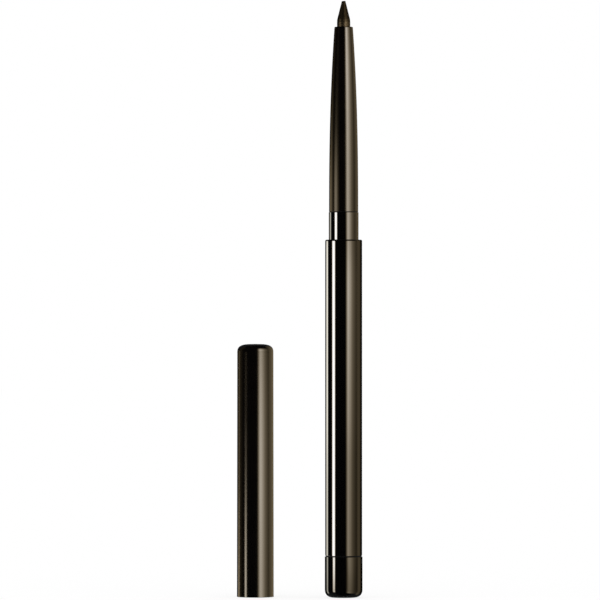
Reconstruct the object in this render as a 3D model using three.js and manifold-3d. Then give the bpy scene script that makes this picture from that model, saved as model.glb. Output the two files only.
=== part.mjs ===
// A twist-up kohl pencil standing on its twist base, with its cap taken off and stood beside it.
// Millimetres, +Z up. The origin is the centre of the flat foot that the pencil stands on.
// Turning the base anticlockwise, seen from the tip, winds the lead out of the nose.

import * as THREE from "three";
import { mergeVertices } from "three/addons/utils/BufferGeometryUtils.js";
import Module from "manifold-3d";

const wasm = await Module();
wasm.setup();

// Lead
const LEAD_RADIUS = 1.48;
const LEAD_STICK_OUT = 5.8;
const LEAD_CONE_HEIGHT = 4.05;
const LEAD_TIP_RADIUS = 0.4;
const LEAD_TIP_CROWN = 0.1;

// Lead holder: a cup that grips the lead, a stem, and a foot with two lugs
const GRIP_LENGTH = 6;
const HOLDER_WALL = 0.29;
const CUP_FLOOR = 1;
const STEM_WAIST = 0.5;
const HOLDER_FOOT_HEIGHT = 3;
const GRIP_SLIT_WIDTH = 0.4;
const GRIP_SLIT_DEPTH = 4;
const LUG_WIDTH = 0.8;
const LUG_HEIGHT = 0.9;
const LUG_ENGAGEMENT = 0.35;

// Guide tube with two slots
const GUIDE_WALL = 0.4;
const GUIDE_END_RING = 4;

// Spiral sleeve with a two start groove
const SPIRAL_LEAD_PER_TURN = 8;
const SPIRAL_WALL = 0.35;
const SPIRAL_TOP_MARGIN = 2;
const GROOVE_AXIAL_CLEARANCE = 0.15;
const PLUG_LENGTH = 9.2;
const PLUG_CORE_WALL = 0.8;
const SHOULDER_WIDTH = 0.65;

// Friction ring
const RING_SECTION = 0.8;
const RING_HEIGHT_ON_PLUG = 2.5;
const RING_SIDE_CLEARANCE = 0.1;

// Nose
const NOSE_LENGTH = 41.2;
const NOSE_LIP = 0.48;
const NOSE_BULGE = 2.4;
const NOSE_SETBACK = 0.065;
const NOSE_MOUTH_ROUNDING = 0.2;
const NOSE_SPIGOT_WALL = 0.4;
const SPIGOT_SHORTFALL = 2.4;
const THROAT_DEPTH = 7;
const THROAT_TAPER = 3;

// Neck collar
const COLLAR_HEIGHT = 6.1;
const COLLAR_WALL = 0.55;
const COLLAR_SKIRT_LENGTH = 5;
const COLLAR_SEAT_STEP = 0.12;

// Barrel
const BARREL_LENGTH = 70.4;
const BARREL_WALL = 0.7;
const BARREL_EDGE_ROUNDING = 0.3;
const REAR_LIP_THICKNESS = 2;

// Twist base
const BASE_HEIGHT = 9.1;
const BASE_OVERHANG = 0.085;
const BASE_ROUNDING_WIDTH = 1.95;
const BASE_ROUNDING_HEIGHT = 1.55;
const BASE_TOP_EDGE = 0.12;
const BASE_SOCKET_FLOOR = 3;

// Cap, and the sealing sleeve inside it
const CAP_LENGTH = 56.45;
const CAP_WALL = 0.72;
const CAP_DRAFT = 0.07;
const CAP_TOP_THICKNESS = 1.5;
const CAP_TOP_ROUNDING_WIDTH = 1.6;
const CAP_TOP_ROUNDING_HEIGHT = 1.6;
const CAP_CROWN = 0.05;
const CAP_MOUTH_EDGE = 0.12;
const CAP_SPACING = 19.7;
const CAP_SETBACK = 3;
const SEAL_HEIGHT = 29;
const SEAL_TAPER = 1.5;
const SEAL_TOP_THICKNESS = 0.6;

// Fits and gaps
const PRESS_FIT = 0.03;
const SLIDE_FIT = 0.1;
const RUN_FIT = 0.1;
const CAP_FIT = 0.07;
const STOP_GAP = 0.5;
const FLOOR_GAP = 0.3;
const BASE_SEAM = 0.2;
const NOSE_SEAM = 0.12;

// Facets
const ROUND_FACETS = 36;
const RING_FACETS = 8;
const ROUNDING_STEPS = 6;
const NOSE_STEPS = 10;
const STEPS_PER_TURN = 12;
const GROOVE_FACETS = 6;
const TAIL_SIDES = 6;
const CUT_OVERSHOOT = 1;
const WELD_DISTANCE = 1e-5;
const LONG_AXIS = new THREE.Vector3(0, 0, 1);

// A bore of many flats keeps its clearance when its corner radius is the clear radius over this.
const facetCosine = (count) => Math.cos(Math.PI / count);
const clearBore = (radius, fit) => (radius + fit) / facetCosine(ROUND_FACETS);

// Radii, from the lead outwards
const gripBore = LEAD_RADIUS + PRESS_FIT;
const holderRadius = gripBore + HOLDER_WALL;
const stemRadius = holderRadius - STEM_WAIST;
const guideBore = holderRadius + SLIDE_FIT;
const guideRadius = guideBore + GUIDE_WALL;
const spiralBore = clearBore(guideRadius, RUN_FIT);
const lugReach = guideRadius + RUN_FIT + LUG_ENGAGEMENT;
const grooveRadius = (lugReach + RUN_FIT) / facetCosine(STEPS_PER_TURN);
const spiralRadius = grooveRadius + SPIRAL_WALL;
const barrelBore = clearBore(spiralRadius, RUN_FIT);
const barrelRadius = barrelBore + BARREL_WALL;
const baseRadius = barrelRadius + BASE_OVERHANG;
const tailRadius = spiralRadius - SHOULDER_WIDTH;
const rearHole = clearBore(tailRadius, RUN_FIT);
const ringCentreRadius = barrelBore * facetCosine(ROUND_FACETS) - PRESS_FIT - RING_SECTION / 2;
const ringGrooveFloor = ringCentreRadius - RING_SECTION / 2 - PRESS_FIT;
const plugCore = ringGrooveFloor - PLUG_CORE_WALL;

// Radii of the nose, the collar and the cap
const spigotBore = guideRadius + PRESS_FIT;
const spigotRadius = spigotBore + NOSE_SPIGOT_WALL;
const collarBore = spigotRadius + PRESS_FIT;
const collarRadius = collarBore + COLLAR_WALL;
const seatBore = barrelBore + COLLAR_SEAT_STEP;
const skirtRadius = seatBore - PRESS_FIT;
const noseBaseRadius = collarRadius - NOSE_SETBACK;
const mouthBore = LEAD_RADIUS + SLIDE_FIT;
const noseMouthRadius = mouthBore + NOSE_LIP;
const capBore = collarRadius + CAP_FIT;
const capMouthRadius = capBore + CAP_WALL;
const capTopRadius = capMouthRadius - CAP_DRAFT;

// Heights of the body, from the foot up
const barrelRear = BASE_HEIGHT + BASE_SEAM;
const barrelTop = barrelRear + BARREL_LENGTH;
const collarTop = barrelTop + COLLAR_HEIGHT;
const skirtEnd = barrelTop - COLLAR_SKIRT_LENGTH;
const noseBase = collarTop + NOSE_SEAM;
const noseMouth = noseBase + NOSE_LENGTH;
const spigotEnd = skirtEnd + SPIGOT_SHORTFALL;
const throat = noseMouth - THROAT_DEPTH;
const leadTip = noseMouth + LEAD_STICK_OUT;

// Heights of the drive, from the rear lip of the barrel up
const spiralShoulder = barrelRear + REAR_LIP_THICKNESS + RUN_FIT;
const spiralFloor = spiralShoulder + PLUG_LENGTH;
const spiralTop = skirtEnd - RUN_FIT;
const tailEnd = BASE_SOCKET_FLOOR + RUN_FIT;
const guideRear = spiralFloor + FLOOR_GAP;
const guideTop = noseBase - RUN_FIT;
const slotRear = guideRear + GUIDE_END_RING;
const lugAtRest = slotRear + STOP_GAP + LUG_HEIGHT / 2 + LEAD_STICK_OUT + STOP_GAP;
const lugAtTop = spiralTop - SPIRAL_TOP_MARGIN - LUG_HEIGHT / 2;
const slotTop = lugAtTop + LUG_HEIGHT / 2 + STOP_GAP;
const travelOut = lugAtTop - lugAtRest;
const holderRear = lugAtRest - HOLDER_FOOT_HEIGHT / 2;
const holderTop = throat - THROAT_TAPER - STOP_GAP - travelOut;
const leadRear = holderTop - GRIP_LENGTH;

// Materials
const finish = (color, roughness, metalness = 0) =>
  new THREE.MeshStandardMaterial({ color, roughness, metalness });
const glossBlack = finish(0x120c08, 0.12);
const satinBlack = finish(0x1c150f, 0.35);
const kohl = finish(0x17110b, 0.6);
const naturalPlastic = finish(0xd9d6cc, 0.45);
const greyPlastic = finish(0x6f6d69, 0.4);
const blackRubber = finish(0x0d0d0d, 0.8);

// Welds shared corners and drops triangles that have no area left.
function weld(geometry) {
  const bare = new THREE.BufferGeometry();
  bare.setAttribute("position", geometry.getAttribute("position").clone());
  bare.setIndex(geometry.getIndex());
  const welded = mergeVertices(bare, WELD_DISTANCE);
  const corners = welded.getIndex().array;
  const kept = [];
  for (let i = 0; i < corners.length; i += 3) {
    const [a, b, c] = corners.slice(i, i + 3);
    if (a !== b && b !== c && c !== a) kept.push(a, b, c);
  }
  welded.setIndex(kept);
  return welded;
}

// A welded geometry as a solid that can be cut and joined.
function solidOf(geometry) {
  const welded = weld(geometry);
  return new wasm.Manifold(
    new wasm.Mesh({
      numProp: 3,
      vertProperties: new Float32Array(welded.getAttribute("position").array),
      triVerts: new Uint32Array(welded.getIndex().array),
    }),
  );
}

// A solid as a geometry that a mesh can show.
function geometryOf(solid) {
  const mesh = solid.getMesh();
  const geometry = new THREE.BufferGeometry();
  geometry.setAttribute("position", new THREE.BufferAttribute(mesh.vertProperties, mesh.numProp));
  geometry.setIndex(new THREE.BufferAttribute(mesh.triVerts, 1));
  geometry.computeVertexNormals();
  return geometry;
}

// A named mesh whose own zero height is set at the given height.
function piece(name, geometry, material, height = 0) {
  const mesh = new THREE.Mesh(geometry, material);
  mesh.name = name;
  mesh.position.z = height;
  return mesh;
}

// Turns an outline of [radius, height] corners about the Z axis. The outline runs up the outside.
function turned(outline, facets = ROUND_FACETS) {
  const points = outline.map(([radius, height]) => new THREE.Vector2(radius, height));
  const lathe = new THREE.LatheGeometry(points, facets);
  lathe.rotateX(Math.PI / 2);
  return weld(lathe);
}

// A turned ring or tube: its outline closes on itself instead of on the axis.
const turnedRing = (outline) => turned([...outline, outline[0]]);

// Corners of a quarter ellipse about a centre, from one angle to another in quarter turns.
function rounding(centre, width, height, from, to, steps = ROUNDING_STEPS) {
  const corners = [];
  for (let step = 0; step <= steps; step += 1) {
    const angle = (Math.PI / 2) * (from + ((to - from) * step) / steps);
    corners.push([centre[0] + width * Math.cos(angle), centre[1] + height * Math.sin(angle)]);
  }
  return corners;
}

// A box with its middle at a place.
function block(width, depth, height, x = 0, y = 0, z = 0) {
  const box = new THREE.BoxGeometry(width, depth, height);
  box.translate(x, y, z);
  return box;
}

// Radius of the nose at a share of its length, 0 at the collar and 1 at the mouth.
function noseRadiusAt(share) {
  return noseBaseRadius - (noseBaseRadius - noseMouthRadius) * share ** NOSE_BULGE;
}

function makeLead() {
  const length = leadTip - leadRear;
  return turned([
    [0, 0],
    [LEAD_RADIUS, 0],
    [LEAD_RADIUS, length - LEAD_CONE_HEIGHT],
    [LEAD_TIP_RADIUS, length - LEAD_TIP_CROWN],
    [0, length],
  ]);
}

function makeLeadHolder() {
  const length = holderTop - holderRear;
  const cupRear = length - GRIP_LENGTH - CUP_FLOOR;
  const body = solidOf(
    turned([
      [0, 0],
      [holderRadius, 0],
      [holderRadius, HOLDER_FOOT_HEIGHT],
      [stemRadius, HOLDER_FOOT_HEIGHT + STEM_WAIST],
      [stemRadius, cupRear - STEM_WAIST],
      [holderRadius, cupRear],
      [holderRadius, length],
      [gripBore, length],
      [gripBore, length - GRIP_LENGTH],
      [0, length - GRIP_LENGTH],
    ]),
  );
  const lugSpan = 2 * Math.sqrt(lugReach ** 2 - (LUG_WIDTH / 2) ** 2);
  const lugs = solidOf(block(lugSpan, LUG_WIDTH, LUG_HEIGHT, 0, 0, HOLDER_FOOT_HEIGHT / 2));
  const slitHeight = GRIP_SLIT_DEPTH + CUT_OVERSHOOT;
  const slitMiddle = length - GRIP_SLIT_DEPTH + slitHeight / 2;
  const slits = solidOf(block(4 * holderRadius, GRIP_SLIT_WIDTH, slitHeight, 0, 0, slitMiddle));
  return geometryOf(body.add(lugs).subtract(slits));
}

function makeGuideTube() {
  const length = guideTop - guideRear;
  const tube = solidOf(
    turnedRing([
      [guideBore, 0],
      [guideRadius, 0],
      [guideRadius, length],
      [guideBore, length],
    ]),
  );
  const slotHeight = slotTop - slotRear;
  const slotMiddle = slotRear + slotHeight / 2 - guideRear;
  const slotWidth = LUG_WIDTH + 2 * SLIDE_FIT;
  const slots = solidOf(block(4 * guideRadius, slotWidth, slotHeight, 0, 0, slotMiddle));
  return geometryOf(tube.subtract(slots));
}

// The section of both spiral grooves: two sectors that meet in a bar across the bore.
function grooveSection() {
  const lugAngle = 2 * Math.asin(LUG_WIDTH / 2 / guideRadius);
  const height = LUG_HEIGHT + 2 * GROOVE_AXIAL_CLEARANCE;
  const halfAngle = (lugAngle + (2 * Math.PI * height) / SPIRAL_LEAD_PER_TURN) / 2;
  const corners = [];
  for (const start of [0, Math.PI]) {
    corners.push([guideBore, start - halfAngle]);
    for (let step = 0; step <= GROOVE_FACETS; step += 1) {
      corners.push([grooveRadius, start + halfAngle * ((2 * step) / GROOVE_FACETS - 1)]);
    }
    corners.push([guideBore, start + halfAngle]);
  }
  return new THREE.Shape(
    corners.map(([radius, angle]) => new THREE.Vector2(radius * Math.cos(angle), radius * Math.sin(angle))),
  );
}

// The cutter for the grooves: their section, twisted left handed as it rises past the lugs at rest.
function grooveCutter(rear, top) {
  const depth = top - rear;
  const steps = Math.ceil((depth / SPIRAL_LEAD_PER_TURN) * STEPS_PER_TURN);
  const cutter = new THREE.ExtrudeGeometry(grooveSection(), { depth, steps, bevelEnabled: false });
  cutter.translate(0, 0, rear);
  const places = cutter.getAttribute("position");
  const corner = new THREE.Vector3();
  for (let i = 0; i < places.count; i += 1) {
    corner.fromBufferAttribute(places, i);
    const turns = (corner.z - lugAtRest) / SPIRAL_LEAD_PER_TURN;
    corner.applyAxisAngle(LONG_AXIS, -2 * Math.PI * turns);
    places.setXYZ(i, corner.x, corner.y, corner.z);
  }
  return solidOf(cutter);
}

function makeSpiralSleeve() {
  const ringMiddle = spiralShoulder + RING_HEIGHT_ON_PLUG;
  const ringHalf = RING_SECTION / 2 + RING_SIDE_CLEARANCE;
  const sleeve = solidOf(
    turnedRing([
      [plugCore, spiralShoulder],
      [spiralRadius, spiralShoulder],
      [spiralRadius, ringMiddle - ringHalf],
      [ringGrooveFloor, ringMiddle - ringHalf],
      [ringGrooveFloor, ringMiddle + ringHalf],
      [spiralRadius, ringMiddle + ringHalf],
      [spiralRadius, spiralTop],
      [spiralBore, spiralTop],
      [spiralBore, spiralFloor],
      [plugCore, spiralFloor],
    ]),
  );
  const tailTop = spiralShoulder + CUT_OVERSHOOT;
  const tail = new THREE.CylinderGeometry(tailRadius, tailRadius, tailTop - tailEnd, TAIL_SIDES);
  tail.rotateX(Math.PI / 2);
  tail.translate(0, 0, (tailTop + tailEnd) / 2);
  const core = new THREE.CylinderGeometry(plugCore, plugCore, spiralFloor, ROUND_FACETS);
  core.rotateX(Math.PI / 2);
  core.translate(0, 0, spiralFloor / 2);
  const grooves = grooveCutter(slotRear, spiralTop + CUT_OVERSHOOT);
  return geometryOf(sleeve.add(solidOf(tail)).subtract(solidOf(core)).subtract(grooves));
}

function makeFrictionRing() {
  const section = [];
  for (let step = 0; step < RING_FACETS; step += 1) {
    const angle = (2 * Math.PI * step) / RING_FACETS;
    section.push([
      ringCentreRadius + (RING_SECTION / 2) * Math.cos(angle),
      (RING_SECTION / 2) * Math.sin(angle),
    ]);
  }
  return turnedRing(section);
}

function makeNoseCone() {
  const side = [];
  for (let step = 0; step <= NOSE_STEPS; step += 1) {
    const share = step / NOSE_STEPS;
    side.push([noseRadiusAt(share), share * (NOSE_LENGTH - NOSE_MOUTH_ROUNDING)]);
  }
  const rim = [noseMouthRadius - NOSE_MOUTH_ROUNDING, NOSE_LENGTH - NOSE_MOUTH_ROUNDING];
  const edge = rounding(rim, NOSE_MOUTH_ROUNDING, NOSE_MOUTH_ROUNDING, 0, 1, ROUNDING_STEPS / 2);
  const rear = spigotEnd - noseBase;
  return turnedRing([
    [spigotBore, rear],
    [spigotRadius, rear],
    [spigotRadius, 0],
    ...side,
    ...edge.slice(1),
    [mouthBore, NOSE_LENGTH],
    [mouthBore, NOSE_LENGTH - THROAT_DEPTH],
    [guideBore, NOSE_LENGTH - THROAT_DEPTH - THROAT_TAPER],
    [guideBore, 0],
    [spigotBore, 0],
  ]);
}

function makeNeckCollar() {
  const shoulder = COLLAR_SKIRT_LENGTH;
  return turnedRing([
    [collarBore, 0],
    [skirtRadius, 0],
    [skirtRadius, shoulder],
    [collarRadius, shoulder],
    [collarRadius, shoulder + COLLAR_HEIGHT],
    [collarBore, shoulder + COLLAR_HEIGHT],
  ]);
}

function makeBarrel() {
  const seat = skirtEnd - barrelRear - PRESS_FIT;
  const edge = BARREL_EDGE_ROUNDING;
  return turnedRing([
    [rearHole, 0],
    [barrelRadius - edge, 0],
    ...rounding([barrelRadius - edge, edge], edge, edge, -1, 0, ROUNDING_STEPS / 2).slice(1),
    ...rounding([barrelRadius - edge, BARREL_LENGTH - edge], edge, edge, 0, 1, ROUNDING_STEPS / 2),
    [seatBore, BARREL_LENGTH],
    [seatBore, seat],
    [barrelBore, seat],
    [barrelBore, REAR_LIP_THICKNESS],
    [rearHole, REAR_LIP_THICKNESS],
  ]);
}

function makeTwistBase() {
  const footRadius = baseRadius - BASE_ROUNDING_WIDTH;
  const body = solidOf(
    turned([
      [0, 0],
      ...rounding([footRadius, BASE_ROUNDING_HEIGHT], BASE_ROUNDING_WIDTH, BASE_ROUNDING_HEIGHT, -1, 0),
      [baseRadius, BASE_HEIGHT - BASE_TOP_EDGE],
      [baseRadius - BASE_TOP_EDGE, BASE_HEIGHT],
      [0, BASE_HEIGHT],
    ]),
  );
  const socketRadius = tailRadius + PRESS_FIT / facetCosine(TAIL_SIDES);
  const socketHeight = BASE_HEIGHT - BASE_SOCKET_FLOOR + CUT_OVERSHOOT;
  const socket = new THREE.CylinderGeometry(socketRadius, socketRadius, socketHeight, TAIL_SIDES);
  socket.rotateX(Math.PI / 2);
  socket.translate(0, 0, BASE_SOCKET_FLOOR + socketHeight / 2);
  return geometryOf(body.subtract(solidOf(socket)));
}

function makeCapShell() {
  const roundingRise = CAP_LENGTH - CAP_CROWN - CAP_TOP_ROUNDING_HEIGHT;
  const roundingCentre = [capTopRadius - CAP_TOP_ROUNDING_WIDTH, roundingRise];
  return turned([
    [0, CAP_LENGTH - CAP_TOP_THICKNESS],
    [capBore, CAP_LENGTH - CAP_TOP_THICKNESS],
    [capBore, CAP_MOUTH_EDGE],
    [capBore + CAP_MOUTH_EDGE, 0],
    [capMouthRadius - CAP_MOUTH_EDGE, 0],
    [capMouthRadius, CAP_MOUTH_EDGE],
    ...rounding(roundingCentre, CAP_TOP_ROUNDING_WIDTH, CAP_TOP_ROUNDING_HEIGHT, 0, 1),
    [0, CAP_LENGTH],
  ]);
}

function makeInnerCap() {
  const sealShare = (SEAL_HEIGHT - COLLAR_HEIGHT - NOSE_SEAM) / NOSE_LENGTH;
  const sealBore = noseRadiusAt(sealShare) + PRESS_FIT;
  const sleeveRadius = capBore - PRESS_FIT;
  const length = CAP_LENGTH - CAP_TOP_THICKNESS - RUN_FIT - SEAL_HEIGHT;
  const mouthRadius = (sealBore + sleeveRadius) / 2;
  return turned([
    [0, length - SEAL_TOP_THICKNESS],
    [sealBore, length - SEAL_TOP_THICKNESS],
    [sealBore, SEAL_TAPER],
    [mouthRadius, 0],
    [sleeveRadius, 0],
    [sleeveRadius, length],
    [0, length],
  ]);
}

// The fixed body, the turning drive, the sliding lead and the loose cap, each a group of its own.
const body = new THREE.Group();
body.add(
  piece("barrel", makeBarrel(), glossBlack, barrelRear),
  piece("neck_collar", makeNeckCollar(), glossBlack, skirtEnd),
  piece("nose_cone", makeNoseCone(), satinBlack, noseBase),
  piece("guide_tube", makeGuideTube(), greyPlastic, guideRear),
);

const drive = new THREE.Group();
drive.add(
  piece("twist_base", makeTwistBase(), glossBlack),
  piece("spiral_sleeve", makeSpiralSleeve(), naturalPlastic),
  piece("friction_o_ring", makeFrictionRing(), blackRubber, spiralShoulder + RING_HEIGHT_ON_PLUG),
);

const sliding = new THREE.Group();
sliding.add(
  piece("lead", makeLead(), kohl, leadRear),
  piece("lead_holder", makeLeadHolder(), naturalPlastic, holderRear),
);

const cap = new THREE.Group();
cap.position.set(-CAP_SPACING, CAP_SETBACK, 0);
cap.add(
  piece("cap_shell", makeCapShell(), satinBlack),
  piece("inner_cap", makeInnerCap(), naturalPlastic, SEAL_HEIGHT),
);

const pencil = new THREE.Group();
pencil.add(body, drive, sliding, cap);

export default pencil;
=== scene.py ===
"""A twist-up kohl pencil with its cap off: fine surfaces, finishes and a studio round its fixed frame.

Metres, +Z up. Azimuth 0 points from the pencil to the camera, and minus is to the camera's left."""

import math

import bmesh
import bpy
import numpy as np
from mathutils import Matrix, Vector


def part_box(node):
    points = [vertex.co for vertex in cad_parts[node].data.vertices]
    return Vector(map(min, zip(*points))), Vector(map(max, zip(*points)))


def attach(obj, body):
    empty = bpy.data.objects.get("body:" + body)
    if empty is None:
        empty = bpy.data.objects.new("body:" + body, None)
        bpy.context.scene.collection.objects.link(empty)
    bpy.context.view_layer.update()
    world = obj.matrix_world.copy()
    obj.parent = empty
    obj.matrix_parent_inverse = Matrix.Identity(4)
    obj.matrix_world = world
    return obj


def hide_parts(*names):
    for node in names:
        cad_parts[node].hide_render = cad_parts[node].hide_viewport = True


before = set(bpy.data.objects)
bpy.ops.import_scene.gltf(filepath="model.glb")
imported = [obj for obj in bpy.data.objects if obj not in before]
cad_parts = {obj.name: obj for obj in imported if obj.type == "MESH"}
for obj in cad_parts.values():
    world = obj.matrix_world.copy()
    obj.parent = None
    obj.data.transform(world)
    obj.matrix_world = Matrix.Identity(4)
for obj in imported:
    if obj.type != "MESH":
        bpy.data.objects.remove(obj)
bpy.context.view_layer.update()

MM = 0.001

# Camera, as the picture was taken: level, straight in front, from far off
CAMERA_PLACE = Vector((-9.725 * MM, -1.35, 66.27 * MM))
CAMERA_AIM = Vector((-9.725 * MM, 0.0, 66.27 * MM))
CAMERA_RANGE = (0.01, 10.0)
PICTURE_WIDTH = 133.68 * MM
SENSOR_WIDTH = 36.0

# Surfaces: steps round the axis, and along a small rounding, a large rounding and a long curve
AROUND = 192
SMALL_STEPS = 8
LARGE_STEPS = 24
CURVE_STEPS = 64
ANGLES = np.linspace(0.0, 2.0 * math.pi, AROUND, endpoint=False)

# Corners: how far a corner's shading reaches, its largest share of a stretch, and when points are one
CORNER_HOLD = 0.03 * MM
LARGEST_HOLD = 0.25
WELD = 1e-7

# Lead: the lines drift round by some radians for each metre of height
LEAD_CONE_HEIGHT = 4.05 * MM
LEAD_TIP_RADIUS = 0.4 * MM
LEAD_TIP_CROWN = 0.03 * MM
LEAD_TIP_SLANT = 0.1
LEAD_SHOULDER = 0.65 * MM
LEAD_SHOULDER_TILT = 0.1
LEAD_LINES = (9, 17, 31)
LEAD_LINE_DEPTH = 0.006 * MM
LEAD_LINE_DRIFT = 90.0
LEAD_LINE_START = 1.0

# Nose, and the spigot below it
NOSE_BULGE = 2.4
NOSE_SEAM = 0.12 * MM
NOSE_SETBACK = 0.065 * MM
NOSE_MOUTH_RADIUS = 2.06 * MM
NOSE_MOUTH_ROUNDING = 0.2 * MM
NOSE_MOUTH_BORE = 1.58 * MM
NOSE_THROAT_DEPTH = 7.0 * MM
NOSE_THROAT_TAPER = 3.0 * MM
NOSE_BORE = 1.9 * MM
SPIGOT_RADIUS = 2.73 * MM
SPIGOT_BORE = 2.33 * MM

# Neck collar
COLLAR_SKIRT_LENGTH = 5.0 * MM
COLLAR_BORE = 2.76 * MM

# Barrel
BARREL_EDGE = 0.3 * MM
BARREL_SEAT_BORE = 3.5335 * MM
BARREL_SEAT_DEPTH = 5.03 * MM
BARREL_BORE = 3.4135 * MM
BARREL_REAR_HOLE = 2.761 * MM
BARREL_LIP = 2.0 * MM

# Twist base
BASE_ROUNDING_WIDTH = 2.1 * MM
BASE_ROUNDING_HEIGHT = 1.9 * MM
BASE_ROUNDING_POWER = 2.5
BASE_SOCKET_RADIUS = 2.69 * MM
BASE_SOCKET_FLOOR = 3.0 * MM

# Cap, and the sealing sleeve inside it
CAP_DRAFT = 0.07 * MM
CAP_BORE = 3.38 * MM
CAP_TOP_THICKNESS = 1.5 * MM
CAP_TOP_ROUNDING_WIDTH = 3.4 * MM
CAP_TOP_ROUNDING_HEIGHT = 1.95 * MM
CAP_TOP_ROUNDING_POWER = 3.0
CAP_CROWN = 0.02 * MM
CAP_MOUTH_EDGE = 0.1 * MM
SEAL_BORE = 2.989 * MM
SEAL_TAPER = 1.5 * MM
SEAL_TOP_THICKNESS = 0.6 * MM

# Seams are fine grooves: the rounding of their lips, slope of their sides, gap at the bottom, and depths
SEAM_LIP = 0.025 * MM
SEAM_SLOPE = 1.0
SEAM_GAP = 0.01 * MM
NOSE_GROOVE = 0.08 * MM
BARREL_GROOVE = 0.25 * MM
BASE_GROOVE = 0.02 * MM

# Colours of cloth, floor and lamps: a lamp is pale at full light, and has another colour where it is weak
WHITE = (1.0, 1.0, 1.0, 1.0)
BLACK = (0.0, 0.0, 0.0, 1.0)
PALE_LIGHT = (1.0, 0.98, 0.95, 1.0)
WARM_LIGHT = (1.0, 0.72, 0.33, 1.0)
RIM_LIGHT = (1.0, 0.93, 0.7, 1.0)

# Tent, with angles in degrees, and floor
TENT_RADIUS = 0.9
TENT_STEPS = (96, 48)
TENT_WINDOW_HALF_WIDTH = 60.0
TENT_WINDOW_HEIGHTS = (14.0, 55.0)
TENT_WINDOW_LIGHT = 0.05
TENT_GROUND_GAP = 60.0
TENT_GROUND_TOP = -26.0
TENT_GROUND_LIGHT = 0.08
FLOOR_RADIUS = 3.0
FLOOR_GLOW = 0.8

# Lamps: stops across one are (azimuth in degrees, level)
LAMP_DISTANCE = 0.55
FULL_LIGHT = 25.0
STRIP = [(-78, 0.0), (-72, 1.0), (-60, 1.0), (-54, 0.0)]
SOFT_STRIP = [(-86, 0.0), (-76, 0.6), (-68, 1.0), (-62, 1.0), (-54, 0.5), (-44, 0.12), (-34, 0.0)]
FINE_STRIP = [(-72, 0.0), (-65, 1.0), (-59, 1.0), (-53, 0.0)]
RIM = [(-139, 0.0), (-132, 1.0), (-119, 1.0), (-114, 0.0)]
SOFT_RIM = [(-142, 0.0), (-132, 1.0), (-114, 1.0), (-100, 0.35), (-86, 0.0)]
FINE_RIM = [(-129, 0.0), (-123, 1.0), (-115, 1.0), (-109, 0.0)]
LEFT_GLOW = [(-124, 0.0), (-112, 1.0), (-104, 0.85), (-96, 0.5), (-88, 0.2), (-78, 0.0)]
PANEL = [
    (13, 0.0), (19, 0.12), (25, 0.55), (31, 0.95), (36, 1.0), (43, 0.86), (50, 0.66), (57, 0.48),
    (64, 0.31), (72, 0.2), (80, 0.14), (88, 0.09), (97, 0.04),
]
CRISP_PANEL = [
    (11, 0.0), (16, 0.15), (22, 0.62), (28, 1.0), (35, 0.8), (42, 0.67), (48, 0.48), (56, 0.28),
    (64, 0.19), (72, 0.13), (80, 0.08), (88, 0.06), (97, 0.05),
]
RIGHT_RIM = [(91, 0.0), (101, 1.0), (125, 0.95), (145, 0.75), (160, 0.4)]
FINE_RIGHT_RIM = [(89, 0.0), (98, 0.8), (107, 1.0), (119, 0.6), (131, 0.05), (136, 0.0)]

# Stops up a lamp are (height in millimetres, level)
LAMP_FOOT = -500
EVEN = [(LAMP_FOOT, 1.0), (1100, 1.0)]
UP_TO_NOSE = [(LAMP_FOOT, 1.0), (100, 1.0), (120, 0.0)]


class Value:
    """One output of a node tree. Python's arithmetic on it adds Math nodes to that tree."""

    def __init__(self, nodes, socket):
        self.nodes = nodes
        self.socket = socket

    def maths(self, operation, first, second):
        return self.nodes.add("ShaderNodeMath", {"operation": operation}, {0: first, 1: second})

    def __add__(self, other):
        return self.maths("ADD", self, other)

    def __radd__(self, other):
        return self.maths("ADD", other, self)

    def __sub__(self, other):
        return self.maths("SUBTRACT", self, other)

    def __rsub__(self, other):
        return self.maths("SUBTRACT", other, self)

    def __mul__(self, other):
        return self.maths("MULTIPLY", self, other)

    def __rmul__(self, other):
        return self.maths("MULTIPLY", other, self)


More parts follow.
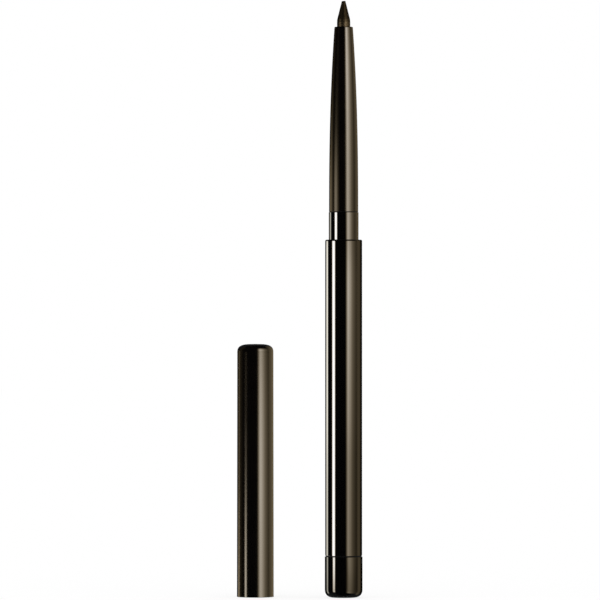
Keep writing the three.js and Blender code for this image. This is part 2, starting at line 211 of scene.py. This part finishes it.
class Nodes:
    """A node tree of a material or a lamp, and the few kinds of pattern that this object needs."""

    def __init__(self, tree):
        self.tree = tree

    def feed(self, socket, value):
        """Links a value to a socket, or sets the socket to a plain number or colour."""
        if isinstance(value, Value):
            self.tree.links.new(value.socket, socket)
        else:
            socket.default_value = value

    def add(self, kind, settings=None, sockets=None, output=0):
        """Adds one node: its settings first, then the values or links of its sockets."""
        node = self.tree.nodes.new(kind)
        for name, value in (settings or {}).items():
            if name == "stops":
                self.set_stops(node.color_ramp, value)
            else:
                setattr(node, name, value)
        for name, value in (sockets or {}).items():
            self.feed(node.inputs[name], value)
        return Value(self, node.outputs[output])

    def set_stops(self, ramp, stops):
        """Gives a ramp its (position, level) stops, with straight runs between them."""
        ramp.interpolation = "LINEAR"
        while len(ramp.elements) < len(stops):
            ramp.elements.new(0.5)
        for element, (position, level) in zip(ramp.elements, stops):
            element.position = position
            element.color = (level, level, level, 1.0)

    def levels(self, value, stops):
        """A level that runs straight from stop to stop, for (value, level) stops."""
        first, last = stops[0][0], stops[-1][0]
        shares = [((at - first) / (last - first), level) for at, level in stops]
        share = (value - first) * (1.0 / (last - first))
        return self.add("ShaderNodeValToRGB", {"stops": shares}, {0: share})

    def noise(self, size, stretch=(1.0, 1.0, 1.0), detail=2.0, shift=0.0):
        """Noise on Object coordinates with lumps of about a size, longer where stretch is larger."""
        place = self.add("ShaderNodeTexCoord", output="Object")
        scale = tuple(1.0 / (size * longer) for longer in stretch)
        sockets = {"Vector": place, "Scale": scale, "Location": (shift, shift, shift)}
        mapped = self.add("ShaderNodeMapping", None, sockets)
        return self.add("ShaderNodeTexNoise", None, {"Vector": mapped, "Scale": 1.0, "Detail": detail})

    def blend(self, share, first, second):
        """A colour that goes from the first to the second as the share rises."""
        settings = {"data_type": "RGBA"}
        return self.add("ShaderNodeMix", settings, {0: share, 6: first, 7: second}, output=2)

    def bump(self, height, depth):
        """A normal that follows some relief of a depth in metres."""
        return self.add("ShaderNodeBump", None, {"Height": height, "Distance": depth, "Strength": 1.0})


class Finish(Nodes):
    """A material whose Principled shader is fed by its own nodes."""

    def __init__(self, name):
        self.material = bpy.data.materials.new(name)
        self.material.use_nodes = True
        super().__init__(self.material.node_tree)
        self.shader = self.tree.nodes["Principled BSDF"]

    def set(self, **sockets):
        """Sets or links sockets of the shader, with underscores for the spaces in their names."""
        for name, value in sockets.items():
            self.feed(self.shader.inputs[name.replace("_", " ")], value)


def gloss_black():
    """High gloss moulded black: faint clouds in colour and polish, and a slight ripple of the mould."""
    finish = Finish("gloss_black")
    clouds = finish.noise(6.0 * MM, detail=3.0)
    haze = finish.noise(0.7 * MM, stretch=(1.0, 1.0, 6.0), shift=3.0)
    ripple = finish.noise(1.6 * MM, stretch=(1.0, 1.0, 3.0), shift=7.0)
    dark = (0.0008, 0.0007, 0.0008, 1.0)
    light = (0.0016, 0.0013, 0.0012, 1.0)
    finish.set(Base_Color=finish.blend(clouds, dark, light))
    finish.set(Roughness=0.03 + 0.015 * clouds + 0.01 * haze)
    finish.set(Normal=finish.bump(ripple, 0.00015 * MM))
    finish.set(IOR=1.5)
    return finish.material


def satin_black():
    """Satin moulded black: a fine even grain that softens what it mirrors."""
    finish = Finish("satin_black")
    clouds = finish.noise(5.0 * MM, detail=3.0, shift=2.0)
    grain = finish.noise(0.06 * MM, detail=1.0, shift=5.0)
    dark = (0.0012, 0.0010, 0.0010, 1.0)
    light = (0.0026, 0.0018, 0.0015, 1.0)
    finish.set(Base_Color=finish.blend(clouds, dark, light))
    finish.set(Roughness=0.09 + 0.04 * clouds + 0.02 * grain)
    finish.set(Normal=finish.bump(grain, 0.0006 * MM))
    finish.set(IOR=1.5)
    return finish.material


def kohl():
    """Pressed waxy pigment: drawn out lines along the lead, small pits, and a dull warm sheen."""
    finish = Finish("kohl")
    lines = finish.noise(0.22 * MM, stretch=(1.0, 1.0, 9.0), detail=4.0)
    pits = finish.noise(0.12 * MM, detail=3.0, shift=4.0)
    relief = 0.7 * lines + 0.5 * pits
    dark = (0.002, 0.0012, 0.0002, 1.0)
    light = (0.005, 0.003, 0.0005, 1.0)
    finish.set(Base_Color=finish.blend(lines, dark, light))
    finish.set(Roughness=0.3 + 0.15 * pits)
    finish.set(Normal=finish.bump(relief, 0.012 * MM))
    finish.set(IOR=1.46, Specular_Tint=(1.0, 0.85, 0.6, 1.0))
    return finish.material


def natural_plastic():
    """Undyed moulded plastic, slightly cloudy."""
    finish = Finish("natural_plastic")
    clouds = finish.noise(3.0 * MM, detail=3.0)
    grain = finish.noise(0.15 * MM, shift=4.0)
    dark = (0.66, 0.63, 0.55, 1.0)
    light = (0.78, 0.76, 0.7, 1.0)
    finish.set(Base_Color=finish.blend(clouds, dark, light))
    finish.set(Roughness=0.36 + 0.12 * clouds)
    finish.set(Normal=finish.bump(grain, 0.002 * MM))
    return finish.material


def grey_plastic():
    """Dyed moulded plastic with faint draw marks along its length."""
    finish = Finish("grey_plastic")
    marks = finish.noise(0.3 * MM, stretch=(1.0, 1.0, 20.0), detail=3.0)
    dark = (0.23, 0.23, 0.22, 1.0)
    light = (0.28, 0.28, 0.27, 1.0)
    finish.set(Base_Color=finish.blend(marks, dark, light))
    finish.set(Roughness=0.34 + 0.12 * marks)
    finish.set(Normal=finish.bump(marks, 0.002 * MM))
    return finish.material


def black_rubber():
    """Soft black rubber with a dusty bloom."""
    finish = Finish("black_rubber")
    bloom = finish.noise(0.5 * MM, detail=4.0)
    dark = (0.012, 0.012, 0.012, 1.0)
    light = (0.03, 0.03, 0.029, 1.0)
    finish.set(Base_Color=finish.blend(bloom, dark, light))
    finish.set(Roughness=0.65 + 0.2 * bloom)
    finish.set(Normal=finish.bump(bloom, 0.004 * MM))
    return finish.material


def add_object(name, data):
    """A new object at the origin of the scene that holds some data."""
    thing = bpy.data.objects.new(name, data)
    bpy.context.scene.collection.objects.link(thing)
    return thing


def straight(start, end):
    """A straight stretch of an outline, with a point near each end to keep a corner's shading there."""
    start = np.array(start)
    end = np.array(end)
    length = np.linalg.norm(end - start)
    hold = min(CORNER_HOLD / length, LARGEST_HOLD)
    shares = np.array([0.0, hold, 1.0 - hold, 1.0])
    return start + shares[:, None] * (end - start)


def rounded(centre, width, height, first, last, steps, power=2.0):
    """A stretch of an ellipse about a centre, from one angle to another in quarter turns. With a power other
    than 2 it is the curve |x / width| ** power + |z / height| ** power = 1."""
    angle = np.linspace(first, last, steps + 1) * (math.pi / 2)
    out = np.sign(np.cos(angle)) * np.abs(np.cos(angle)) ** (2.0 / power)
    up = np.sign(np.sin(angle)) * np.abs(np.sin(angle)) ** (2.0 / power)
    return np.stack([centre[0] + width * out, centre[1] + height * up], axis=1)


def outline_of(*stretches):
    """Joins stretches of (radius, height) points, with straight ones across any gap between them."""
    points = np.array(stretches[0])
    for stretch in stretches[1:]:
        following = np.array(stretch)
        if np.linalg.norm(following[0] - points[-1]) > WELD:
            points = np.concatenate([points, straight(points[-1], following[0])[1:]])
        points = np.concatenate([points, following[1:]])
    return points


def over_seam(radius, step, depth):
    """The upper side of a groove, which rises by its depth, from the bottom out to the wall above."""
    foot = step + depth
    bottom = (radius - SEAM_LIP - SEAM_SLOPE * depth, step)
    lip = rounded((radius - SEAM_LIP, foot + SEAM_LIP), SEAM_LIP, SEAM_LIP, -1.0, 0.0, SMALL_STEPS)
    return outline_of([bottom], lip)


def under_seam(radius, step, depth):
    """The lower side of a groove, which rises by its depth, from the wall below in to the bottom."""
    top = step - depth
    bottom = (radius - SEAM_LIP - SEAM_SLOPE * depth, step)
    lip = rounded((radius - SEAM_LIP, top - SEAM_LIP), SEAM_LIP, SEAM_LIP, 0.0, 1.0, SMALL_STEPS)
    return outline_of(lip, [bottom])


def surface(name, grid):
    """A mesh over a grid of points, with rows along an outline and columns round the axis, welded where
    points meet."""
    rows, columns, _ = grid.shape
    row, column = np.meshgrid(np.arange(rows - 1), np.arange(columns), indexing="ij")
    beside = (column + 1) % columns
    corners = [row * columns + column, row * columns + beside]
    corners += [(row + 1) * columns + beside, (row + 1) * columns + column]
    quads = np.stack(corners, axis=-1).reshape(-1, 4)
    mesh = bpy.data.meshes.new(name)
    mesh.from_pydata(grid.reshape(-1, 3), [], quads.tolist())
    welded = bmesh.new()
    welded.from_mesh(mesh)
    bmesh.ops.remove_doubles(welded, verts=welded.verts, dist=WELD)
    welded.to_mesh(mesh)
    welded.free()
    mesh.shade_smooth()
    return add_object(name, mesh)


def turned(name, outline, axis=(0.0, 0.0)):
    """A surface of revolution: at angle a, the point (r, z) of an outline is at (r cos a, r sin a, z) from
    an axis."""
    x = axis[0] + np.outer(outline[:, 0], np.cos(ANGLES))
    y = axis[1] + np.outer(outline[:, 0], np.sin(ANGLES))
    z = np.repeat(outline[:, 1:], AROUND, axis=1)
    return surface(name, np.stack([x, y, z], axis=-1))


def sizes_of(node):
    """Radius, foot and top of a turned CAD node, from its box."""
    low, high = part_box(node)
    return (high.x - low.x) / 2, low.z, high.z


def axis_of(node):
    """Where a turned CAD node's axis stands, from its box."""
    low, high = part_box(node)
    return (low.x + high.x) / 2, (low.y + high.y) / 2


def lead_outline(radius, rear, tip):
    """A rod with a slight shoulder and a blunt cone."""
    cone_foot = tip - LEAD_CONE_HEIGHT
    crown_foot = tip - LEAD_TIP_CROWN
    foot_radius = radius - LEAD_SHOULDER_TILT * LEAD_SHOULDER
    rise = np.linspace(0.0, 1.0, CURVE_STEPS)
    cone_radius = foot_radius + rise * (LEAD_TIP_RADIUS - foot_radius)
    cone_height = cone_foot + rise * (crown_foot - cone_foot)
    return outline_of(
        [(0.0, rear)],
        [(radius, rear)],
        [(radius, cone_foot - LEAD_SHOULDER)],
        np.stack([cone_radius, cone_height], axis=1),
        rounded((0.0, crown_foot), LEAD_TIP_RADIUS, LEAD_TIP_CROWN, 0.0, 1.0, SMALL_STEPS),
    )


def make_lead():
    """The lead's outline turned round its axis. Drawn lines are shallow waves of the radius round the rod,
    which drift with height, and a slanting plane trims the worn tip."""
    radius, rear, tip = sizes_of("lead")
    outline = lead_outline(radius, rear, tip)
    height = np.repeat(outline[:, 1:], AROUND, axis=1)
    turn = ANGLES + LEAD_LINE_DRIFT * height + LEAD_LINE_START
    waves = sum(np.sin(count * turn) for count in LEAD_LINES) / len(LEAD_LINES)
    depth = LEAD_LINE_DEPTH * (1.0 + waves) / 2.0
    share = outline[:, :1] / radius
    around = outline[:, :1] - depth * share
    x = around * np.cos(ANGLES)
    y = around * np.sin(ANGLES)
    trimmed = np.minimum(height, tip - LEAD_TIP_SLANT * (LEAD_TIP_RADIUS - x))
    return surface("kohl_lead", np.stack([x, y, trimmed], axis=-1))


def make_nose():
    """A tapering shell: at a share s of its length the radius is the base's less the taper times s to the
    power of the bulge."""
    radius, spigot_end, mouth = sizes_of("nose_cone")
    collar_top = sizes_of("neck_collar")[2]
    base = collar_top + NOSE_SEAM
    step = base - NOSE_GROOVE / 2
    side_top = mouth - NOSE_MOUTH_ROUNDING
    share = np.linspace(0.0, 1.0, CURVE_STEPS)
    share = share[share * (side_top - base) > NOSE_GROOVE]
    side_radius = radius - (radius - NOSE_MOUTH_RADIUS) * share ** NOSE_BULGE
    side_height = base + share * (side_top - base)
    rim = (NOSE_MOUTH_RADIUS - NOSE_MOUTH_ROUNDING, side_top)
    throat = mouth - NOSE_THROAT_DEPTH
    outline = outline_of(
        [(SPIGOT_BORE, spigot_end)],
        [(SPIGOT_RADIUS, spigot_end)],
        [(SPIGOT_RADIUS, step)],
        over_seam(radius, step, NOSE_GROOVE),
        np.stack([side_radius, side_height], axis=1),
        rounded(rim, NOSE_MOUTH_ROUNDING, NOSE_MOUTH_ROUNDING, 0.0, 1.0, SMALL_STEPS),
        [(NOSE_MOUTH_BORE, mouth)],
        [(NOSE_MOUTH_BORE, throat)],
        [(NOSE_BORE, throat - NOSE_THROAT_TAPER)],
        [(NOSE_BORE, base)],
        [(SPIGOT_BORE, base)],
        [(SPIGOT_BORE, spigot_end)],
    )
    return turned("nose_shell", outline)


def make_collar():
    """A short tube whose wider skirt sits in the barrel."""
    skirt_radius, foot, top = sizes_of("neck_collar")
    radius = sizes_of("nose_cone")[0] + NOSE_SETBACK
    shoulder = foot + COLLAR_SKIRT_LENGTH
    step = top + NOSE_SEAM - NOSE_GROOVE / 2 - SEAM_GAP
    outline = outline_of(
        [(COLLAR_BORE, foot)],
        [(skirt_radius, foot)],
        [(skirt_radius, shoulder)],
        [(radius, shoulder)],
        under_seam(radius, step, NOSE_GROOVE),
        [(COLLAR_BORE, step)],
        [(COLLAR_BORE, foot)],
    )
    return turned("neck_ring", outline)


def make_barrel():
    """A long tube with a rounded top edge, a seat for the collar, a groove below and a lip at the rear."""
    radius, rear, top = sizes_of("barrel")
    step = sizes_of("twist_base")[2] + SEAM_GAP
    edge = BARREL_EDGE
    seat = top - BARREL_SEAT_DEPTH
    outline = outline_of(
        [(BARREL_REAR_HOLE, step)],
        over_seam(radius, step, BARREL_GROOVE),
        rounded((radius - edge, top - edge), edge, edge, 0.0, 1.0, SMALL_STEPS),
        [(BARREL_SEAT_BORE, top)],
        [(BARREL_SEAT_BORE, seat)],
        [(BARREL_BORE, seat)],
        [(BARREL_BORE, rear + BARREL_LIP)],
        [(BARREL_REAR_HOLE, rear + BARREL_LIP)],
        [(BARREL_REAR_HOLE, step)],
    )
    return turned("barrel_tube", outline)


def make_base():
    """A knob with a flat foot, a wide rounding below, a fine edge above and a socket for the drive."""
    radius, foot, top = sizes_of("twist_base")
    width = BASE_ROUNDING_WIDTH
    height = BASE_ROUNDING_HEIGHT
    power = BASE_ROUNDING_POWER
    socket_floor = foot + BASE_SOCKET_FLOOR
    outline = outline_of(
        [(0.0, foot)],
        rounded((radius - width, foot + height), width, height, -1.0, 0.0, LARGE_STEPS, power),
        under_seam(radius, top, BASE_GROOVE),
        [(BASE_SOCKET_RADIUS, top)],
        [(BASE_SOCKET_RADIUS, socket_floor)],
        [(0.0, socket_floor)],
    )
    return turned("base_knob", outline)


def make_cap():
    """A long closed tube with a slight draft, a fine edge at its mouth and a rounded top, whose faint crown
    falls by the square of the share of the way out."""
    radius, foot, top = sizes_of("cap_shell")
    ceiling = top - CAP_TOP_THICKNESS
    edge = CAP_MOUTH_EDGE
    width = CAP_TOP_ROUNDING_WIDTH
    height = CAP_TOP_ROUNDING_HEIGHT
    power = CAP_TOP_ROUNDING_POWER
    crown_radius = radius - CAP_DRAFT - width
    share = np.linspace(1.0, 0.0, SMALL_STEPS + 1)
    outline = outline_of(
        [(0.0, ceiling)],
        [(CAP_BORE, ceiling)],
        rounded((CAP_BORE + edge, foot + edge), edge, edge, 2.0, 3.0, SMALL_STEPS),
        rounded((radius - edge, foot + edge), edge, edge, -1.0, 0.0, SMALL_STEPS),
        rounded((crown_radius, top - CAP_CROWN - height), width, height, 0.0, 1.0, CURVE_STEPS, power),
        np.stack([crown_radius * share, top - CAP_CROWN * share ** 2], axis=1),
    )
    return turned("cap_tube", outline, axis_of("cap_shell"))


def make_seal():
    """A thin closed sleeve with a tapered mouth."""
    radius, foot, top = sizes_of("inner_cap")
    ceiling = top - SEAL_TOP_THICKNESS
    outline = outline_of(
        [(0.0, ceiling)],
        [(SEAL_BORE, ceiling)],
        [(SEAL_BORE, foot + SEAL_TAPER)],
        [((SEAL_BORE + radius) / 2, foot)],
        [(radius, foot)],
        [(radius, top)],
        [(0.0, top)],
    )
    return turned("cap_sleeve", outline, axis_of("inner_cap"))


def dress(piece, body, node, material):
    """Puts a finished piece on its body in place of its CAD node."""
    piece.data.materials.append(material)
    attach(piece, body)
    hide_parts(node)
    return piece


def only_reflected(thing):
    """Leaves a lamp or a tent to be seen in reflections alone."""
    thing.visible_camera = False
    thing.visible_diffuse = False
    thing.visible_transmission = False


def towards(azimuth):
    """The level direction of an azimuth, in degrees."""
    angle = math.radians(azimuth)
    return Vector((math.sin(angle), -math.cos(angle), 0.0))


def turned_by(stops, turn):
    """Stops across a lamp, moved round by some degrees."""
    return [(azimuth + turn, level) for azimuth, level in stops]


def shade_lamp(data, light, across, up, middle, weak):
    """The light of a lamp. Its level follows the stops at each point's azimuth round the middle and at its
    height, and its colour goes from the weak one to pale with the square root of the level."""
    data.use_nodes = True
    nodes = Nodes(data.node_tree)
    place = nodes.add("ShaderNodeNewGeometry", output="Position")
    x, y, z = [nodes.add("ShaderNodeSeparateXYZ", None, {0: place}, axis) for axis in "XYZ"]
    turn = nodes.add("ShaderNodeMath", {"operation": "ARCTAN2"}, {0: x - middle[0], 1: middle[1] - y})
    level_across = nodes.levels(turn * math.degrees(1.0), across)
    level_up = nodes.levels(z * (1.0 / MM), up)
    level = light * level_across * level_up
    paleness = nodes.add("ShaderNodeMath", {"operation": "SQRT"}, {0: level * (1.0 / FULL_LIGHT)})
    emission = data.node_tree.nodes["Emission"]
    nodes.feed(emission.inputs["Strength"], level)
    nodes.feed(emission.inputs["Color"], nodes.blend(paleness, weak, PALE_LIGHT))


def studio_lamp(name, pieces, light, across, up, middle=(0.0, 0.0), weak=WARM_LIGHT):
    """A flat upright lamp that faces an axis in the middle and only shows in the reflections of the pieces
    it is meant for. Its energy is set so that a reflection shows the light of its stops."""
    first, last = across[0][0], across[-1][0]
    low, high = up[0][0] * MM, up[-1][0] * MM
    facing = towards((first + last) / 2)
    data = bpy.data.lights.new(name, "AREA")
    data.shape = "RECTANGLE"
    data.size = 2.0 * LAMP_DISTANCE * math.tan(math.radians((last - first) / 2))
    data.size_y = high - low
    data.energy = math.pi * data.size * data.size_y
    shade_lamp(data, light, across, up, middle, weak)
    lamp = add_object(name, data)
    lamp.location = Vector((*middle, (low + high) / 2)) + LAMP_DISTANCE * facing
    lamp.rotation_mode = "QUATERNION"
    lamp.rotation_quaternion = facing.to_track_quat("Z", "Y")
    only_reflected(lamp)
    lit = bpy.data.collections.new(name)
    for piece in pieces:
        lit.objects.link(piece)
    lamp.light_linking.receiver_collection = lit
    lamp.light_linking.blocker_collection = lit


def light_barrel(barrel, base):
    """A bright strip and a rim on the left, a panel on the right that fades downwards, and a right rim."""
    rim_up = [(LAMP_FOOT, 0.64), (-9, 0.64), (10, 0.71), (29, 0.95), (84, 1.0), (90, 0.3), (200, 0.0)]
    panel_up = [
        (LAMP_FOOT, 0.46), (-12, 0.46), (16, 0.52), (29, 0.68), (72, 0.98), (78, 0.9), (84, 0.76),
        (100, 0.62), (160, 0.25), (300, 0.1), (500, 0.0),
    ]
    studio_lamp("barrel_strip", [barrel], FULL_LIGHT, STRIP, UP_TO_NOSE)
    studio_lamp("barrel_rim", [barrel], 8.4, RIM, rim_up, weak=RIM_LIGHT)
    studio_lamp("barrel_panel", [barrel], 11.4, CRISP_PANEL, panel_up)
    studio_lamp("barrel_right_rim", [barrel, base], 0.76, FINE_RIGHT_RIM, EVEN)


def light_collar(collar):
    """A bright strip and a rim on the left and a panel on the right, which fade above the collar."""
    rim_up = [(LAMP_FOOT, 1.0), (100, 1.0), (200, 0.0)]
    panel_up = [(LAMP_FOOT, 0.86), (100, 0.86), (140, 0.45), (250, 0.15), (500, 0.0)]
    studio_lamp("collar_strip", [collar], FULL_LIGHT, turned_by(STRIP, 3), UP_TO_NOSE)
    studio_lamp("collar_rim", [collar], 3.7, RIM, rim_up, weak=RIM_LIGHT)
    studio_lamp("collar_panel", [collar], 10.6, PANEL, panel_up)


def light_nose(nose, collar):
    """A soft strip and rim on the left that fade upwards, a panel on the right, and a right rim."""
    strip_up = [
        (LAMP_FOOT, 1.0), (106, 1.0), (120, 0.4), (135, 0.15), (153, 0.055), (175, 0.025), (260, 0.0),
    ]
    rim_up = [(LAMP_FOOT, 1.0), (106, 1.0), (120, 0.5), (153, 0.13), (196, 0.06), (260, 0.03)]
    panel_up = [
        (LAMP_FOOT, 0.72), (106, 0.72), (153, 0.8), (200, 1.0), (250, 0.95), (400, 0.5), (800, 0.0),
    ]
    studio_lamp("nose_strip", [nose], 4.4, SOFT_STRIP, strip_up)
    studio_lamp("nose_rim", [nose], 1.15, SOFT_RIM, rim_up)
    studio_lamp("nose_panel", [nose], 11.8, turned_by(PANEL, -3), panel_up)
    studio_lamp("neck_right_rim", [collar, nose], 0.68, RIGHT_RIM, EVEN)


def light_lead(lead):
    """A strip, a panel and a right rim that light the rod and leave the cone dark."""
    strip_up = [(LAMP_FOOT, 1.0), (150, 1.0), (190, 0.3), (270, 0.0)]
    panel_up = [(LAMP_FOOT, 0.8), (150, 1.0), (180, 0.35), (250, 0.12), (800, 0.06)]
    rim_up = [(LAMP_FOOT, 1.0), (150, 1.0), (220, 0.2), (400, 0.0)]
    studio_lamp("lead_strip", [lead], 8.5, STRIP, strip_up)
    studio_lamp("lead_panel", [lead], 12.0, turned_by(PANEL, -3), panel_up)
    studio_lamp("lead_right_rim", [lead], 0.68, RIGHT_RIM, rim_up)


def light_base(base):
    """A fine strip and rim on the left and a panel on the right, which end low and leave the foot dark."""
    strip_up = [(-210, 0.0), (-190, 0.5), (-24.3, 0.5), (-21.5, 0.72), (-17, 1.0), (100, 1.0)]
    rim_up = [(-260, 0.0), (-240, 0.8), (-24.3, 0.8), (-17, 1.0), (100, 1.0)]
    panel_up = [
        (-430, 0.0), (-380, 0.85), (-200, 0.72), (-24.3, 0.6), (-21.5, 0.75), (-17, 1.0), (100, 1.0),
    ]
    studio_lamp("base_strip", [base], 22.5, FINE_STRIP, strip_up)
    studio_lamp("base_rim", [base], 4.2, FINE_RIM, rim_up, weak=RIM_LIGHT)
    studio_lamp("base_panel", [base], 4.2, turned_by(PANEL, -1.5), panel_up)


def light_cap(cap, seal):
    """A fine strip and a rim on the left that fade upwards, a faint glow, a panel and a right rim."""
    lit = [cap, seal]
    axis = axis_of("cap_shell")
    strip_up = [
        (LAMP_FOOT, 1.0), (-21.5, 0.95), (-15.3, 0.75), (-2.7, 0.58), (4.5, 0.25), (10, 0.07), (18, 0.02),
        (35, 0.016), (80, 0.012),
    ]
    rim_up = [(LAMP_FOOT, 1.0), (-21.5, 0.94), (-15.3, 0.75), (-2.7, 0.56), (10, 0.28), (100, 0.22)]
    panel_up = [
        (LAMP_FOOT, 0.8), (-21.5, 0.8), (0, 1.0), (30, 1.0), (46, 0.84), (48.4, 0.66), (51, 0.6),
        (80, 0.68), (250, 0.95), (450, 0.6), (780, 0.1), (900, 0.0),
    ]
    right_rim_up = [(LAMP_FOOT, 1.0), (60, 1.0), (300, 0.8), (600, 0.3), (800, 0.0)]
    studio_lamp("cap_strip", lit, 11.0, turned_by(FINE_STRIP, -0.5), strip_up, axis)
    studio_lamp("cap_rim", lit, 1.9, RIM, rim_up, axis)
    studio_lamp("cap_left_glow", lit, 0.16, LEFT_GLOW, EVEN, axis)
    studio_lamp("cap_panel", lit, 10.2, turned_by(PANEL, -1.2), panel_up, axis)
    studio_lamp("cap_right_rim", lit, 0.92, RIGHT_RIM, right_rim_up, axis)


def tent_cloth(name, light):
    """Cloth that mirrors nothing and shines evenly with some light."""
    cloth = Finish(name)
    cloth.set(Base_Color=BLACK, Specular_IOR_Level=0.0)
    cloth.set(Emission_Color=WHITE, Emission_Strength=light)
    return cloth.material


def make_tent():
    """A dark tent that only reflections see: a sphere of azimuth and climb, with a dim window behind the
    object and a dim ground below it, which is left dark towards the camera."""
    columns, rows = TENT_STEPS
    azimuth = np.linspace(-180.0, 180.0, columns + 1)
    climb = np.linspace(-90.0, 90.0, rows + 1)
    turn, rise = np.meshgrid(np.radians(azimuth), np.radians(climb))
    x = CAMERA_AIM.x + TENT_RADIUS * np.cos(rise) * np.sin(turn)
    y = CAMERA_AIM.y - TENT_RADIUS * np.cos(rise) * np.cos(turn)
    z = CAMERA_AIM.z + TENT_RADIUS * np.sin(rise)
    row, column = np.meshgrid(np.arange(rows), np.arange(columns), indexing="ij")
    corner = row * (columns + 1) + column
    above = corner + columns + 1
    quads = np.stack([corner, corner + 1, above + 1, above], axis=-1).reshape(-1, 4)
    mesh = bpy.data.meshes.new("dark_tent")
    mesh.from_pydata(np.stack([x, y, z], axis=-1).reshape(-1, 3), [], quads.tolist())
    aside = np.abs(azimuth[column] + 180.0 / columns)
    raised = (climb[row] >= TENT_WINDOW_HEIGHTS[0]) & (climb[row + 1] <= TENT_WINDOW_HEIGHTS[1])
    window = raised & (aside > 180.0 - TENT_WINDOW_HALF_WIDTH)
    ground = (climb[row + 1] <= TENT_GROUND_TOP) & (aside > TENT_GROUND_GAP)
    mesh.materials.append(tent_cloth("dark_cloth", 0.0))
    mesh.materials.append(tent_cloth("dim_window", TENT_WINDOW_LIGHT))
    mesh.materials.append(tent_cloth("dim_ground", TENT_GROUND_LIGHT))
    cloth_index = window + 2 * ground
    mesh.polygons.foreach_set("material_index", cloth_index.ravel().astype(np.int32))
    tent = add_object("dark_tent", mesh)
    only_reflected(tent)
    tent.visible_shadow = False


def make_floor():
    """A plain white disc that takes the object's soft shadow and stays out of its reflections."""
    rim = np.stack([np.cos(ANGLES), np.sin(ANGLES), np.zeros(AROUND)], axis=-1) * FLOOR_RADIUS
    mesh = bpy.data.meshes.new("floor")
    mesh.from_pydata(rim, [], [list(range(AROUND))])
    white = Finish("white_floor")
    white.set(Base_Color=WHITE, Roughness=1.0, Specular_IOR_Level=0.0)
    seen = white.add("ShaderNodeLightPath", output="Is Camera Ray")
    glow = white.add("ShaderNodeEmission", None, {"Strength": 1.0})
    lit = Value(white, white.shader.outputs["BSDF"])
    mixed = white.add("ShaderNodeMixShader", None, {0: seen * FLOOR_GLOW, 1: lit, 2: glow})
    white.feed(white.tree.nodes["Material Output"].inputs["Surface"], mixed)
    mesh.materials.append(white.material)
    floor = add_object("floor", mesh)
    floor.visible_glossy = False


def make_world():
    """White all round, so that the floor and the background are white and colours render as written."""
    world = bpy.data.worlds.new("white_studio")
    world.use_nodes = True
    background = world.node_tree.nodes["Background"]
    background.inputs["Color"].default_value = WHITE
    background.inputs["Strength"].default_value = 1.0
    bpy.context.scene.world = world


def make_camera():
    """A long lens whose picture is as wide as it should be where the pencil stands."""
    sight = CAMERA_AIM - CAMERA_PLACE
    data = bpy.data.cameras.new("camera")
    data.sensor_width = SENSOR_WIDTH
    data.lens = SENSOR_WIDTH * sight.length / PICTURE_WIDTH
    data.clip_start, data.clip_end = CAMERA_RANGE
    camera = add_object("camera", data)
    camera.location = CAMERA_PLACE
    camera.rotation_mode = "QUATERNION"
    camera.rotation_quaternion = sight.to_track_quat("-Z", "Y")
    bpy.context.scene.camera = camera


# Pieces that show, and the sealing sleeve
gloss = gloss_black()
satin = satin_black()
natural = natural_plastic()
barrel = dress(make_barrel(), "pencil", "barrel", gloss)
collar = dress(make_collar(), "pencil", "neck_collar", gloss)
nose = dress(make_nose(), "pencil", "nose_cone", satin)
base = dress(make_base(), "twist", "twist_base", gloss)
lead = dress(make_lead(), "lead", "lead", kohl())
cap = dress(make_cap(), "cap", "cap_shell", satin)
seal = dress(make_seal(), "cap", "inner_cap", natural)

# Pieces of the drive, which keep their CAD shape
drive_finishes = {
    "guide_tube": grey_plastic(),
    "spiral_sleeve": natural,
    "lead_holder": natural,
    "friction_o_ring": black_rubber(),
}
for node, material in drive_finishes.items():
    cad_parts[node].data.materials.clear()
    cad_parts[node].data.materials.append(material)

# The pieces mirror the studio and not each other
drive = [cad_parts[node] for node in drive_finishes]
for piece in (barrel, collar, nose, base, lead, cap, seal, *drive):
    piece.visible_glossy = False

# Studio
light_barrel(barrel, base)
light_collar(collar)
light_nose(nose, collar)
light_lead(lead)
light_base(base)
light_cap(cap, seal)
make_tent()
make_floor()
make_world()
make_camera()
bpy.context.scene.view_settings.view_transform = "Standard"
